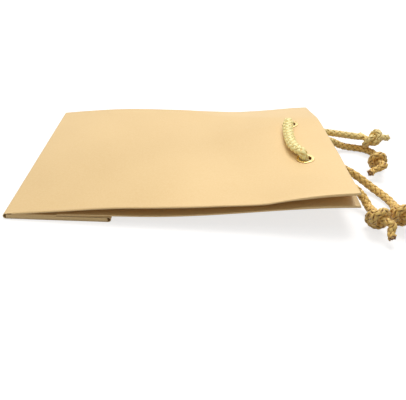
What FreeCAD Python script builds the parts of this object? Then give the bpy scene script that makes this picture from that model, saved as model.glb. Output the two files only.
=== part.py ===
import FreeCAD, Part

# Paper shopping bag with two rope handles, folded flat and lying on its base flap.
#
# Frame: millimetres, +Z up, the floor at Z = 0. The bag runs along X, bottom fold at -X and mouth at +X, with
# Y = 0 in its middle. The upper panel is the one on top, the lower panel faces the floor.
#
# The block bottom is folded under the lower panel. From the bottom fold, the sheet runs back as the glued base,
# turns up at the base's far edge, comes forward as a strip half as wide, and turns again into the lower panel.
# The side gussets are folded inwards along their middle crease. Near the mouth the two panels stand apart,
# because the handles are packed with their loops drawn inside and their ends hanging out of the mouth. The
# upper panel lies over them like a flat arch, so its side edges droop a little there.

import math
import os

import Sketcher
from FreeCAD import Placement, Rotation, Vector

doc = FreeCAD.newDocument("folded_paper_bag")

# ---------------------------------------------------------------- driving sizes (mm, degrees)

SIZES = (
    # the sheet
    ("bag_height", 200.0, "bottom fold to mouth"),
    ("bag_width", 150.0, "panel width"),
    ("gusset_depth", 60.0, "side gusset, and so the depth of the base"),
    ("paper_thickness", 0.35, "one layer of the sheet"),
    ("base_layers", 3.0, "layers glued together in the base"),
    # how the folded bag lies
    ("upper_slope", 4.2, "rise of the upper panel from the bottom fold, degrees"),
    ("upper_straight", 100.0, "straight stretch of the upper panel"),
    ("upper_bend", 45.0, "length of the upper panel's bend"),
    ("upper_turn", 5.3, "turn of that bend, degrees"),
    ("lower_slope", 1.2, "rise of the lower panel from its fold, degrees"),
    ("lower_straight", 70.0, "straight stretch of the lower panel"),
    ("lower_bend", 40.0, "length of the lower panel's bend"),
    ("lower_turn", 0.6, "turn of that bend, degrees"),
    ("droop_width", 31.0, "side strip of the upper panel that droops near the mouth"),
    ("front_droop", -1.8, "droop of the front mouth corner, which stands up a little"),
    ("back_droop", 7.5, "droop of the back mouth corner"),
    # cards
    ("board_thickness", 1.0, "loose base board"),
    ("board_gap", 0.1, "clearance above and below the base board"),
    ("board_margin", 2.5, "clearance round the edges of the base board"),
    ("board_corner", 3.0, "corner radius of the base board"),
    ("rim_card_thickness", 0.8, "card strip at the mouth"),
    ("rim_card_width", 36.0, "card strip, along the bag's height"),
    ("rim_card_gap", 0.05, "clearance on every side of the card strip"),
    ("turn_in_depth", 39.0, "paper turned in at the mouth"),
    ("turn_in_inset", 12.0, "turned-in paper stops this far from the side creases"),
    # eyelets
    ("eyelet_from_mouth", 22.0, "eyelet axis to mouth edge"),
    ("eyelet_spacing", 55.0, "between the two eyelets of a panel"),
    ("eyelet_hole", 7.2, "bore"),
    ("eyelet_flange", 11.8, "outside diameter of the face flange"),
    ("eyelet_curl", 10.4, "outside diameter of the curled back"),
    ("eyelet_wall", 0.4, "metal of the barrel"),
    ("flange_height", 0.5, "face flange above the paper"),
    ("curl_height", 0.6, "curl behind the rim"),
    ("eyelet_lip", 0.7, "rounding of the bore's two lips"),
    ("flange_round", 0.3, "rounding of the flange's outer edge"),
    ("eyelet_fit", 0.05, "barrel to punched hole, on the radius"),
    # ropes and their end knots
    ("rope_diameter", 5.5, "braided rope"),
    ("knot_diameter", 12.6, "overhand knot"),
    ("knot_lead", 8.0, "rope end to the knot's middle"),
    ("tail_length", 14.5, "knot's middle to the tip of the tail"),
)

sheet = doc.addObject("Spreadsheet::Sheet", "sizes")
for row, (alias, value, note) in enumerate(SIZES, start=1):
    sheet.set("A%d" % row, note)
    sheet.set("B%d" % row, str(value))
    sheet.setAlias("B%d" % row, alias)
doc.recompute()

size = {alias: float(sheet.get(alias)) for alias, _, _ in SIZES}

height = size["bag_height"]
width = size["bag_width"]
depth = size["gusset_depth"]
paper = size["paper_thickness"]

# ---------------------------------------------------------------- heights of the stacked layers

base_top = size["base_layers"] * paper
board_low = base_top + size["board_gap"]
board_space_top = board_low + size["board_thickness"] + size["board_gap"]
gusset_layer_top = board_space_top + paper
strip_low = gusset_layer_top + paper
strip_top = strip_low + paper

fold_radius = strip_top / 2
inner_fold_radius = (strip_low - base_top) / 2
inner_fold_centre = (strip_low + base_top) / 2

rim_thickness = 2 * paper + size["rim_card_thickness"] + 2 * size["rim_card_gap"]

OVERLAP = 0.2  # share of a layer by which glued or folded stretches run into each other


# ---------------------------------------------------------------- the panels seen from the side


def in_section(x, z):
    """A point of the bag's middle section, the plane Y = 0."""
    return Vector(x, 0, z)


def line(a, b):
    return Part.LineSegment(a, b).toShape()


def arc(a, middle, b):
    return Part.Arc(a, middle, b).toShape()


def along(slope):
    return in_section(math.cos(slope), math.sin(slope))


def up(slope):
    return in_section(-math.sin(slope), math.cos(slope))


class PanelLine:
    """A panel's outer face in the middle section: straight, one gentle bend, straight to the mouth."""

    def __init__(self, start, slope, straight, bend, turn, length):
        self.first = math.radians(slope)
        self.last = math.radians(slope + turn)
        self.start = start
        self.straight = straight
        self.bend = bend
        self.length = length
        self.bend_start = start + along(self.first) * straight
        self.radius = bend / (self.last - self.first)
        self.centre = self.bend_start + up(self.first) * self.radius
        self.bend_end = self.on_bend(self.last)
        self.mouth = self.bend_end + along(self.last) * (length - straight - bend)

    def on_bend(self, slope, offset=0.0):
        return self.centre - up(slope) * (self.radius - offset)

    def frame(self, run, offset=0.0):
        """Point and slope after a run along the line from its fold; offset moves the point upwards."""
        if run <= self.straight:
            slope = self.first
            point = self.start + along(slope) * run
        elif run <= self.straight + self.bend:
            slope = self.first + (run - self.straight) / self.radius
            point = self.on_bend(slope)
        else:
            slope = self.last
            point = self.mouth - along(slope) * (self.length - run)
        return point + up(slope) * offset, slope

    def edges(self, offset=0.0):
        start = self.start + up(self.first) * offset
        bend_start = self.on_bend(self.first, offset)
        middle = self.on_bend((self.first + self.last) / 2, offset)
        bend_end = self.on_bend(self.last, offset)
        mouth = self.mouth + up(self.last) * offset
        return [line(start, bend_start), arc(bend_start, middle, bend_end), line(bend_end, mouth)]

    def placement(self, from_mouth, offset=0.0, y=0.0):
        """A frame on the straight mouth end: X along the panel to the mouth, Z upwards out of it."""
        base = self.mouth - along(self.last) * from_mouth + up(self.last) * offset
        tilt = Rotation(Vector(0, 1, 0), -math.degrees(self.last))
        return Placement(base + Vector(0, y, 0), tilt)


upper = PanelLine(
    in_section(fold_radius, strip_top),
    size["upper_slope"],
    size["upper_straight"],
    size["upper_bend"],
    size["upper_turn"],
    height - fold_radius,
)
lower = PanelLine(
    in_section(depth / 2, strip_top),
    size["lower_slope"],
    size["lower_straight"],
    size["lower_bend"],
    size["lower_turn"],
    height - depth / 2,
)

# The folded bag's length along X, whose middle becomes X = 0.
deepest = max(rim_thickness, paper + max(size["front_droop"], size["back_droop"]))
rim_corner = upper.mouth - up(upper.last) * deepest
folded_length = max(rim_corner.x, upper.mouth.x, lower.mouth.x)
to_part_frame = Placement(Vector(-folded_length / 2, 0, 0), Rotation())


# ---------------------------------------------------------------- small helpers


def feature(name, shape, placement=to_part_frame):
    piece = doc.addObject("Part::Feature", name)
    piece.Shape = shape
    piece.Placement = placement
    return piece


def prism(points, direction):
    return Part.Face(Part.makePolygon(points + points[:1])).extrude(direction)


def steps(first, last, count):
    return [first + (last - first) * step / count for step in range(count + 1)]


def cell(alias):
    return "sizes." + alias


def fused(name, pieces):
    union = doc.addObject("Part::MultiFuse", name)
    union.Shapes = pieces
    return union


def joined_in_turn(name, pieces):
    """Fuses pieces one after another, which suits thin sheets that lie on each other."""
    union = pieces[0]
    for number, piece in enumerate(pieces[1:], start=1):
        step = doc.addObject("Part::Fuse", "%s_%d" % (name, number))
        step.Base = union
        step.Tool = piece
        union = step
    return union


def cut(name, base, tool):
    result = doc.addObject("Part::Cut", name)
    result.Base = base
    result.Tool = tool
    return result


# ---------------------------------------------------------------- the upper panel near the mouth


def droop_growth(run):
    """Grows evenly from 0 at the bend to 1 at the mouth."""
    return max(0.0, (run - upper.straight) / (upper.length - upper.straight))


def crest(run):
    """Y of the soft crease from which the side strip of the upper panel hangs down."""
    least = 0.15
    return width / 2 - size["droop_width"] * (least + (1 - least) * droop_growth(run))


def droop(run, side):
    """How far the side edge of the upper panel hangs below its middle; side is 1 at the back, -1 in front."""
    corner = size["back_droop"] if side > 0 else size["front_droop"]
    return corner * droop_growth(run)


def across_upper(run, near, far, half_width):
    """A layer of the upper panel cut square across it, between the depths near and far below its face."""
    point, slope = upper.frame(run)
    flat = crest(run)

    def corner(y, below):
        share = max(0.0, abs(y) - flat) / (width / 2 - flat)
        hang = share * droop(run, math.copysign(1, y))
        return point - up(slope) * (below + hang) + Vector(0, y, 0)

    rows = (-half_width, -flat, flat, half_width)
    outline = [corner(y, near) for y in rows] + [corner(y, far) for y in reversed(rows)]
    return Part.makePolygon(outline + outline[:1])


def upper_layer(first, last, near, far, half_width):
    """A layer of the upper panel between two runs from its fold."""
    per_depth = 5
    count = max(1, round(per_depth * (last - first) / depth))
    sections = [across_upper(run, near, far, half_width) for run in steps(first, last, count)]
    return Part.makeLoft(sections, True, True)


# ---------------------------------------------------------------- bag_body: one folded sheet


def sheet_section():
    """The sheet in the middle section, up to the bend of the upper panel: both panels, folds, base and strip."""
    far_fold = depth - fold_radius
    outer_far = in_section(depth, fold_radius)
    inner_far = in_section(far_fold + inner_fold_radius, inner_fold_centre)
    inner_near = in_section(fold_radius - inner_fold_radius, inner_fold_centre)
    lower_inside = lower.edges(paper)
    lower_fold = lower_inside[0].Vertexes[0].Point
    lower_rim = lower_inside[-1].Vertexes[-1].Point
    upper_inside = upper.start - up(upper.first) * paper
    upper_stop = upper.bend_start - up(upper.first) * paper
    edges = [
        line(in_section(fold_radius, 0), in_section(far_fold, 0)),
        arc(in_section(far_fold, 0), outer_far, in_section(far_fold, strip_top)),
        line(in_section(far_fold, strip_top), lower.start),
        *lower.edges(),
        line(lower.mouth, lower_rim),
        *lower_inside,
        arc(lower_fold, in_section(depth / 2 - paper, strip_top), in_section(depth / 2, strip_low)),
        line(in_section(depth / 2, strip_low), in_section(far_fold, strip_low)),
        arc(in_section(far_fold, strip_low), inner_far, in_section(far_fold, base_top)),
        line(in_section(far_fold, base_top), in_section(fold_radius, base_top)),
        arc(in_section(fold_radius, base_top), inner_near, upper_inside),
        line(upper_inside, upper_stop),
        line(upper_stop, upper.bend_start),
        line(upper.bend_start, upper.start),
        arc(upper.start, in_section(0, fold_radius), in_section(fold_radius, 0)),
    ]
    return Part.Face(Part.Wire(Part.sortEdges(edges)[0]))


def gusset_section(side, top, bottom, leaf_width):
    """A folded gusset cut across the bag: two leaves from the side creases to the middle crease inside."""
    middle = (top + bottom) / 2
    half = (top - middle).Length
    reach = math.sqrt(leaf_width**2 - half**2)
    lift = (top - bottom).normalize() * (paper * leaf_width / reach)

    def point(base, inwards):
        return Vector(base.x, side * (width / 2 - inwards), base.z)

    outline = [
        point(top, 0),
        point(middle, reach),
        point(bottom, 0),
        point(bottom - lift, 0),
        point(middle - lift, reach + paper),
        point(middle + lift, reach + paper),
        point(top + lift, 0),
    ]
    return Part.makePolygon(outline + outline[:1])


root = paper * (1 + OVERLAP)
upper_run_at_strip = depth / 2 / math.cos(upper.first) - fold_radius


def gusset(side):
    """One gusset: its corner over the base board, where the middle crease runs diagonally, then the stretch
    between the panels, up to the mouth."""
    sections = []
    for run in (2 * fold_radius, upper_run_at_strip - 2 * paper):
        high, _ = upper.frame(run, -root)
        low = in_section(high.x, gusset_layer_top + OVERLAP * paper)
        sections.append(gusset_section(side, high, low, high.x))
    past_fold = 4 * paper
    count = 14
    upper_runs = steps(upper_run_at_strip + past_fold, upper.length, count)
    lower_runs = steps(past_fold, lower.length, count)
    for upper_run, lower_run in zip(upper_runs, lower_runs):
        high, _ = upper.frame(upper_run, -root - droop(upper_run, side))
        low, _ = lower.frame(lower_run, root)
        sections.append(gusset_section(side, high, low, depth / 2))
    return Part.makeLoft(sections, True, True)


def gusset_under_the_strip(side):
    """Two pressed layers of the gusset's corner between the base board and the strip."""
    far = depth - fold_radius
    outline = [
        Vector(depth / 2, side * width / 2, board_space_top),
        Vector(far, side * width / 2, board_space_top),
        Vector(far, side * (width / 2 - fold_radius), board_space_top),
        Vector(depth / 2, side * (width - depth) / 2, board_space_top),
    ]
    return prism(outline, Vector(0, 0, 2 * paper + OVERLAP * paper))


def base_side_wall(side):
    """The sheet turning up round the side of the base board's space."""
    floor = base_top * (1 - OVERLAP)
    outline = [
        Vector(fold_radius, side * width / 2, floor),
        Vector(depth - fold_radius, side * width / 2, floor),
        Vector(depth - fold_radius, side * width / 2, gusset_layer_top),
        Vector(fold_radius, side * width / 2, gusset_layer_top),
    ]
    return prism(outline, Vector(0, -side * paper, 0))


def upper_turn_in():
    """The paper folded in over the upper card strip: the layer under the card, and its fold at the mouth."""
    half_width = width / 2 - size["turn_in_inset"]
    end = upper.length
    start = end - size["turn_in_depth"]
    layer = upper_layer(start, end, rim_thickness - paper, rim_thickness, half_width)
    fold = upper_layer(end - paper, end, paper * (1 - OVERLAP), rim_thickness, half_width)
    return layer.fuse(fold)


def lower_turn_in():
    """The paper folded in over the lower card strip."""
    half_width = width / 2 - size["turn_in_inset"]

    def point(from_mouth, inside):
        return lower.placement(from_mouth, inside, -half_width).Base

    outline = [
        point(0, paper * (1 - OVERLAP)),
        point(0, rim_thickness),
        point(size["turn_in_depth"], rim_thickness),
        point(size["turn_in_depth"], rim_thickness - paper),
        point(paper, rim_thickness - paper),
        point(paper, paper * (1 - OVERLAP)),
    ]
    return prism(outline, Vector(0, 2 * half_width, 0))


def eyelet_places():
    """Name, panel, Y, and the rotation that turns +Z out of the bag, for each eyelet."""
    half = size["eyelet_spacing"] / 2
    for panel_name, panel, turn in (("upper", upper, 0), ("lower", lower, 180)):
        for side_name, y in (("back", half), ("front", -half)):
            yield panel_name + "_" + side_name, panel, y, Rotation(Vector(1, 0, 0), turn)


def eyelet_placement(panel, y, outwards):
    """A frame at an eyelet: origin on the panel's outer face, +Z out of the bag."""
    on_panel = panel.placement(size["eyelet_from_mouth"], 0, y)
    return to_part_frame.multiply(on_panel).multiply(Placement(Vector(), outwards))


def punches(prefix, only=None):
    """Cylinders of the punched holes, twice as long as the rim is thick."""
    found = []
    for name, panel, y, outwards in eyelet_places():
        if only is not None and panel is not only:
            continue
        punch = doc.addObject("Part::Cylinder", prefix + name)
        radius = (cell("eyelet_hole"), cell("eyelet_wall"), cell("eyelet_fit"))
        punch.setExpression("Radius", "%s / 2 + %s + %s" % radius)
        punch.Height = 2 * rim_thickness
        to_middle = Placement(Vector(0, 0, -1.5 * rim_thickness), Rotation())
        punch.Placement = eyelet_placement(panel, y, outwards).multiply(to_middle)
        found.append(punch)
    return found


def make_bag_body():
    panels = doc.addObject("Part::Extrusion", "folded_panels")
    panels.Base = feature("sheet_section", sheet_section())
    panels.DirMode = "Custom"
    panels.Dir = Vector(0, 1, 0)
    panels.Symmetric = True
    panels.Solid = True
    panels.setExpression("LengthFwd", cell("bag_width"))

    mouth_end = upper_layer(upper.straight, upper.length, 0, paper, width / 2)
    pieces = [
        panels,
        feature("upper_mouth_end", mouth_end),
        feature("upper_turn_in", upper_turn_in()),
        feature("lower_turn_in", lower_turn_in()),
    ]
    sides = (("back", 1), ("front", -1))
    for side_name, side in sides:
        pieces.append(feature("gusset_foot_" + side_name, gusset_under_the_strip(side)))
        pieces.append(feature("base_side_" + side_name, base_side_wall(side)))
    for side_name, side in sides:
        pieces.append(feature("gusset_" + side_name, gusset(side)))
    holes = fused("eyelet_holes", punches("punch_"))
    body = cut("bag_body", joined_in_turn("folded_sheet", pieces), holes)
    body.Refine = True
    return body


# ---------------------------------------------------------------- sketches bound to the sheet


def new_sketch(body, name, role):
    sketch = body.newObject("Sketcher::SketchObject", name)
    plane = next(item for item in body.Origin.OriginFeatures if item.Role == role)
    sketch.AttachmentSupport = [(plane, "")]
    sketch.MapMode = "FlatFace"
    return sketch


def bind(sketch, kind, where, expression):
    """Adds a dimension whose value follows an expression of the sheet."""
    value = sheet.evalExpression(expression)
    if kind in ("DistanceX", "DistanceY") and value < 0:
        where = where[2:] + where[:2]
        expression = "-(%s)" % expression
        value = -value
    index = sketch.addConstraint(Sketcher.Constraint(kind, *where, value))
    sketch.setExpression("Constraints[%d]" % index, expression)


def add_outline(sketch, corners):
    """A closed outline of lines; each corner is a pair of expressions, or 0 for a corner on that axis."""
    values = [[float(sheet.evalExpression(str(part))) for part in corner] for corner in corners]
    first = sketch.GeometryCount
    count = len(corners)
    for index in range(count):
        a, b = values[index], values[(index + 1) % count]
        sketch.addGeometry(Part.LineSegment(Vector(a[0], a[1], 0), Vector(b[0], b[1], 0)))
    for index in range(count):
        following = first + (index + 1) % count
        sketch.addConstraint(Sketcher.Constraint("Coincident", first + index, 2, following, 1))
    for index, (across, upwards) in enumerate(corners):
        if upwards == 0:
            sketch.addConstraint(Sketcher.Constraint("PointOnObject", first + index, 1, -1))
        else:
            bind(sketch, "DistanceY", (-1, 1, first + index, 1), upwards)
        bind(sketch, "DistanceX", (-1, 1, first + index, 1), across)


def add_circle(sketch, diameter, across, upwards):
    values = [float(sheet.evalExpression(part)) for part in (diameter, across, upwards)]
    circle = Part.Circle(Vector(values[1], values[2], 0), Vector(0, 0, 1), values[0] / 2)
    index = sketch.addGeometry(circle)
    bind(sketch, "Diameter", (index,), diameter)
    bind(sketch, "DistanceX", (-1, 1, index, 3), across)
    bind(sketch, "DistanceY", (-1, 1, index, 3), upwards)


def rectangle(length, breadth):
    """Corners of a rectangle about the origin, as expressions."""
    x, y = "(%s) / 2" % length, "(%s) / 2" % breadth
    return [("-" + x, "-" + y), (x, "-" + y), (x, y), ("-" + x, y)]


def edges_where(solid, test):
    return ["Edge%d" % number for number, edge in enumerate(solid.Edges, start=1) if test(edge)]


# ---------------------------------------------------------------- cards


def make_base_board():
    body = doc.addObject("PartDesign::Body", "base_board")
    outline = new_sketch(body, "board_outline", "XY_Plane")
    margin = cell("board_margin")
    length = "%s - 2 * %s" % (cell("gusset_depth"), margin)
    breadth = "%s - 2 * %s" % (cell("bag_width"), margin)
    add_outline(outline, rectangle(length, breadth))
    board = body.newObject("PartDesign::Pad", "board")
    board.Profile = outline
    board.setExpression("Length", cell("board_thickness"))
    doc.recompute()
    corners = body.newObject("PartDesign::Fillet", "board_corners")
    corners.Base = (board, edges_where(board.Shape, lambda edge: abs(edge.tangentAt(0).z) > 0.9))
    corners.setExpression("Radius", cell("board_corner"))
    body.Placement = to_part_frame.multiply(Placement(Vector(depth / 2, 0, board_low), Rotation()))
    return body


def make_rim_card_lower():
    body = doc.addObject("PartDesign::Body", "rim_card_lower")
    outline = new_sketch(body, "card_outline", "XY_Plane")
    breadth = "%s - 2 * %s - 2 * %s" % (cell("bag_width"), cell("turn_in_inset"), cell("rim_card_thickness"))
    add_outline(outline, rectangle(cell("rim_card_width"), breadth))
    hole = "%s + 2 * (%s + %s)" % (cell("eyelet_hole"), cell("eyelet_wall"), cell("eyelet_fit"))
    to_middle = "%s + %s + %s / 2" % (cell("paper_thickness"), cell("rim_card_gap"), cell("rim_card_width"))
    behind = "%s - %s" % (to_middle, cell("eyelet_from_mouth"))
    for sign in ("", "-"):
        add_circle(outline, hole, behind, "%s%s / 2" % (sign, cell("eyelet_spacing")))
    card = body.newObject("PartDesign::Pad", "card")
    card.Profile = outline
    card.setExpression("Length", cell("rim_card_thickness"))
    on_panel = lower.placement(sheet.evalExpression(to_middle), paper + size["rim_card_gap"])
    body.Placement = to_part_frame.multiply(on_panel)
    return body


def make_rim_card_upper():
    """The card strip follows the drooping edge of the upper panel, so it is a bent strip."""
    gap = size["rim_card_gap"]
    end = upper.length - paper - gap
    half_width = width / 2 - size["turn_in_inset"] - size["rim_card_thickness"]
    near, far = paper + gap, rim_thickness - paper - gap
    strip = feature("card_strip", upper_layer(end - size["rim_card_width"], end, near, far, half_width))
    return cut("rim_card_upper", strip, fused("card_holes", punches("card_punch_", upper)))


# ---------------------------------------------------------------- eyelets


def make_eyelet(name, panel, y, outwards):
    """One pressed eyelet: flange outside, barrel through the rim, curled back inside."""
    body = doc.addObject("PartDesign::Body", "eyelet_" + name)
    section = new_sketch(body, "section_" + name, "XZ_Plane")
    bore = cell("eyelet_hole") + " / 2"
    barrel = "%s + %s" % (bore, cell("eyelet_wall"))
    flange = cell("eyelet_flange") + " / 2"
    curl = cell("eyelet_curl") + " / 2"
    rim = "(2 * %s + %s + 2 * %s)" % (cell("paper_thickness"), cell("rim_card_thickness"), cell("rim_card_gap"))
    back = "-(%s + %s)" % (rim, cell("curl_height"))
    corners = [
        (bore, cell("flange_height")),
        (bore, back),
        (curl, back),
        (curl, "-" + rim),
        (barrel, "-" + rim),
        (barrel, 0),
        (flange, 0),
        (flange, cell("flange_height")),
    ]
    add_outline(section, corners)
    turned = body.newObject("PartDesign::Revolution", "turned_" + name)
    turned.Profile = section
    turned.ReferenceAxis = (section, ["V_Axis"])
    turned.Angle = 360
    doc.recompute()

    def ring(radius, z):
        def test(edge):
            circle = getattr(edge, "Curve", None)
            on_ring = isinstance(circle, Part.Circle) and abs(circle.Radius - radius) < 1e-6
            return on_ring and abs(circle.Center.z - z) < 1e-6

        return edges_where(turned.Shape, test)

    top, bottom = size["flange_height"], -(rim_thickness + size["curl_height"])
    lips = body.newObject("PartDesign::Fillet", "lips_" + name)
    lips.Base = (turned, ring(size["eyelet_hole"] / 2, top) + ring(size["eyelet_hole"] / 2, bottom))
    lips.setExpression("Radius", cell("eyelet_lip"))
    doc.recompute()
    turned = lips
    outer_edge = body.newObject("PartDesign::Fillet", "edge_" + name)
    outer_edge.Base = (lips, ring(size["eyelet_flange"] / 2, top) + ring(size["eyelet_curl"] / 2, bottom))
    outer_edge.setExpression("Radius", cell("flange_round"))
    body.Placement = eyelet_placement(panel, y, outwards)
    return body


# ---------------------------------------------------------------- ropes and knots
#
# Each handle is packed with its loop drawn inside: knot, in through the mouth, out through one eyelet, a short
# C-shaped stretch across the panel, in through the other eyelet, out of the mouth, knot. Points in the part's
# own frame, chosen by hand: back end first, front end last.

ROUTES = {
    "upper": (
        (133.5, 31.0, 12.1),
        (121.5, 34.0, 12.1),
        (110.0, 36.6, 12.3),
        (100.0, 36.2, 13.2),
        (89.8, 33.0, 14.6),
        (78.9, 27.8, 16.1),
        (74.9, 27.5, 25.4),
        (71.6, 17.5, 23.9),
        (70.4, 5.5, 23.2),
        (69.6, -8.0, 23.2),
        (70.8, -19.0, 24.0),
        (74.9, -27.6, 25.4),
        (78.9, -27.2, 16.1),
        (89.5, -22.0, 14.6),
        (102.5, -20.0, 13.2),
        (114.0, -23.5, 8.8),
        (123.5, -31.0, 3.9),
        (130.0, -42.0, 2.9),
        (131.5, -54.0, 3.0),
        (129.5, -62.5, 4.85),
    ),
    "lower": (
        (139.5, 4.0, 4.7),
        (143.2, 12.0, 2.9),
        (144.0, 21.5, 2.8),
        (138.5, 29.5, 2.8),
        (129.5, 31.5, 2.8),
        (120.0, 31.0, 4.0),
        (111.0, 28.5, 9.0),
        (101.0, 23.0, 13.1),
        (91.0, 16.5, 12.9),
        (82.0, 17.5, 12.8),
        (78.6, 27.2, 12.6),
        (77.2, 27.5, 2.85),
        (72.6, 17.5, 2.8),
        (71.0, 5.5, 2.8),
        (71.0, -8.0, 2.8),
        (72.6, -19.0, 2.8),
        (77.2, -27.4, 2.85),
        (78.6, -27.8, 12.6),
        (82.0, -38.0, 12.8),
        (91.5, -42.5, 12.9),
        (102.5, -42.5, 13.2),
        (110.5, -49.0, 8.8),
        (113.5, -58.5, 3.6),
        (113.0, -66.5, 5.2),
    ),
}


def rounded_path(points):
    """Straight runs joined by tangent arcs, each as large as its two runs allow. Returns wire and radii."""
    share = 0.45
    edges, radii = [], []
    previous = points[0]
    for before, corner, after in zip(points, points[1:], points[2:]):
        inwards, outwards = corner - before, after - corner
        half_turn = inwards.getAngle(outwards) / 2
        reach = share * min(inwards.Length, outwards.Length)
        radius = reach / math.tan(half_turn)
        inwards.normalize()
        outwards.normalize()
        start, end = corner - inwards * reach, corner + outwards * reach
        centre = corner + (outwards - inwards).normalize() * math.hypot(radius, reach)
        middle = centre + (corner - centre).normalize() * radius
        edges += [line(previous, start), arc(start, middle, end)]
        radii.append(radius)
        previous = end
    edges.append(line(previous, points[-1]))
    return Part.Wire(edges), radii


def make_rope(name):
    points = [Vector(*point) for point in ROUTES[name]]
    path, radii = rounded_path(points)
    radius = size["rope_diameter"] / 2
    section = Part.Wire(Part.Circle(points[0], points[1] - points[0], radius).toShape())
    tube = path.makePipeShell([section], True, False)
    swept = path.Length * math.pi * radius**2
    print("rope_%s: length %.1f, volume against section times length %.4f" % (name, path.Length, tube.Volume / swept))
    print("  radii", " ".join("%.1f" % value for value in radii))
    rope = feature("rope_" + name, tube, Placement())
    return rope


def heading(direction):
    """Turns +X into a direction, keeping +Y level."""
    yaw = math.degrees(math.atan2(direction.y, direction.x))
    pitch = math.degrees(math.atan2(direction.z, math.hypot(direction.x, direction.y)))
    return Rotation(yaw, -pitch, 0)


def make_knot(name, end, before, tail_turn, tail_dip):
    """An overhand knot with its tail, as a closed outer shape: entry stub, knot, tail."""
    direction = (end - before).normalize()
    middle = end + direction * size["knot_lead"]
    level = heading(Vector(direction.x, direction.y, 0))

    lump = doc.addObject("Part::Sphere", "lump_" + name)
    lump.setExpression("Radius", cell("knot_diameter") + " / 2")
    lump.Placement = Placement(middle, level.multiply(Rotation(90, 0, 0)))

    def rod(part_name, start, rotation, length):
        piece = doc.addObject("Part::Cylinder", part_name + name)
        piece.setExpression("Radius", cell("rope_diameter") + " / 2")
        piece.setExpression("Height", length)
        upright_to_x = Rotation(Vector(0, 0, 1), Vector(1, 0, 0))
        piece.Placement = Placement(start, rotation.multiply(upright_to_x))
        return piece

    entry = rod("entry_", end, heading(direction), cell("knot_lead"))
    tail_direction = level.multiply(Rotation(tail_turn, tail_dip, 0))
    tail = rod("tail_", middle, tail_direction, cell("tail_length"))
    return fused("knot_" + name, [lump, entry, tail])


def make_knots():
    tails = {  # turn and dip of the tail, degrees
        "upper_back": (30.0, 2.0),
        "upper_front": (25.0, 13.0),
        "lower_back": (-14.0, 13.0),
        "lower_front": (16.0, 13.0),
    }
    knots = []
    for name, (turn, dip) in tails.items():
        points = [Vector(*point) for point in ROUTES[name.split("_")[0]]]
        end, before = points[:2] if name.endswith("back") else points[:-3:-1]
        knots.append(make_knot(name, end, before, turn, dip))
    return knots


# ---------------------------------------------------------------- build, check, write

parts = [make_bag_body(), make_rim_card_upper(), make_rim_card_lower(), make_base_board()]
parts += [make_eyelet(*place) for place in eyelet_places()]
parts += [make_rope("upper"), make_rope("lower")]
parts += make_knots()
doc.recompute()

for item in doc.Objects:
    if "Invalid" in item.State or "Error" in item.State:
        raise RuntimeError("%s is not built: %s" % (item.Label, item.State))
for part in parts:
    shape = part.Shape
    if shape.isNull() or not shape.isValid() or len(shape.Solids) != 1:
        raise RuntimeError("%s is not one valid solid" % part.Label)

os.makedirs("parts", exist_ok=True)
for part in parts:
    part.Shape.exportStep("parts/%s.step" % part.Label)
    print("%-20s %9.1f mm3" % (part.Label, part.Shape.Volume))
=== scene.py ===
"""A pearl-gold paper shopping bag, folded flat, with two braided rope handles: the looks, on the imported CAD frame.
Lengths are in metres, except in the sections on the bag's sheet and card strips, which are in millimetres."""
import math
import bpy
import numpy as np
from mathutils import Matrix, Vector


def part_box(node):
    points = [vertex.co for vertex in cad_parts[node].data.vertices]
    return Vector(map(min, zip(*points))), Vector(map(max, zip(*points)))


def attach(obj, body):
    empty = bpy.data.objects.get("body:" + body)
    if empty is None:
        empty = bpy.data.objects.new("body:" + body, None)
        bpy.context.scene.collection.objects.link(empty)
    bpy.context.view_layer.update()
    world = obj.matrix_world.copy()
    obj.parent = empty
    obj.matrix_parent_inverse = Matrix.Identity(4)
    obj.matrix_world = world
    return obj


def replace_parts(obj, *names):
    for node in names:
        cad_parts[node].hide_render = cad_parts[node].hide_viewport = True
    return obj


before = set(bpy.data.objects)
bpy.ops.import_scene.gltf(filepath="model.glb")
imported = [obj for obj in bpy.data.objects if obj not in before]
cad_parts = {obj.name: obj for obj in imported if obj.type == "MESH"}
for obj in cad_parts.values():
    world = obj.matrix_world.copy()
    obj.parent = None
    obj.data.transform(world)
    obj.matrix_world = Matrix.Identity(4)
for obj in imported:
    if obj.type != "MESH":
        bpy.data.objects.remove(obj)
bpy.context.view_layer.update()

MM = 0.001
WHITE = (1, 1, 1, 1)
scene = bpy.context.scene
scene.view_settings.view_transform = "Standard"

# ---------------------------------------------------------------- camera


def add_camera(place, azimuth, down, roll, lens):
    """A camera at place, looking along azimuth (0 is +Y, growing towards +X), turned down and rolled, in degrees."""
    a, d, r = (math.radians(angle) for angle in (azimuth, down, roll))
    ahead = Vector((math.sin(a) * math.cos(d), math.cos(a) * math.cos(d), -math.sin(d)))
    level = Vector((math.cos(a), -math.sin(a), 0))
    upright = level.cross(ahead)
    right = level * math.cos(r) + upright * math.sin(r)
    up = upright * math.cos(r) - level * math.sin(r)
    data = bpy.data.cameras.new("camera")
    data.sensor_width = 36
    data.lens = lens
    data.clip_start, data.clip_end = 0.01, 20
    camera = bpy.data.objects.new("camera", data)
    axes = Matrix((right, up, -ahead)).transposed()
    camera.matrix_world = Matrix.Translation(place) @ axes.to_4x4()
    scene.collection.objects.link(camera)
    scene.camera = camera


add_camera(Vector((-0.00012, -0.28976, 0.15320)), azimuth=2.984, down=32.288, roll=3.723, lens=41.06)

# ---------------------------------------------------------------- helpers for lines and meshes


def smooth(share):
    """A share from 0 to 1, eased at both ends."""
    return share * share * (3 - 2 * share)


def unit(vectors):
    """Vectors of length 1 in the same directions."""
    return vectors / np.maximum(np.linalg.norm(vectors, axis=-1, keepdims=True), 1e-12)


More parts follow.
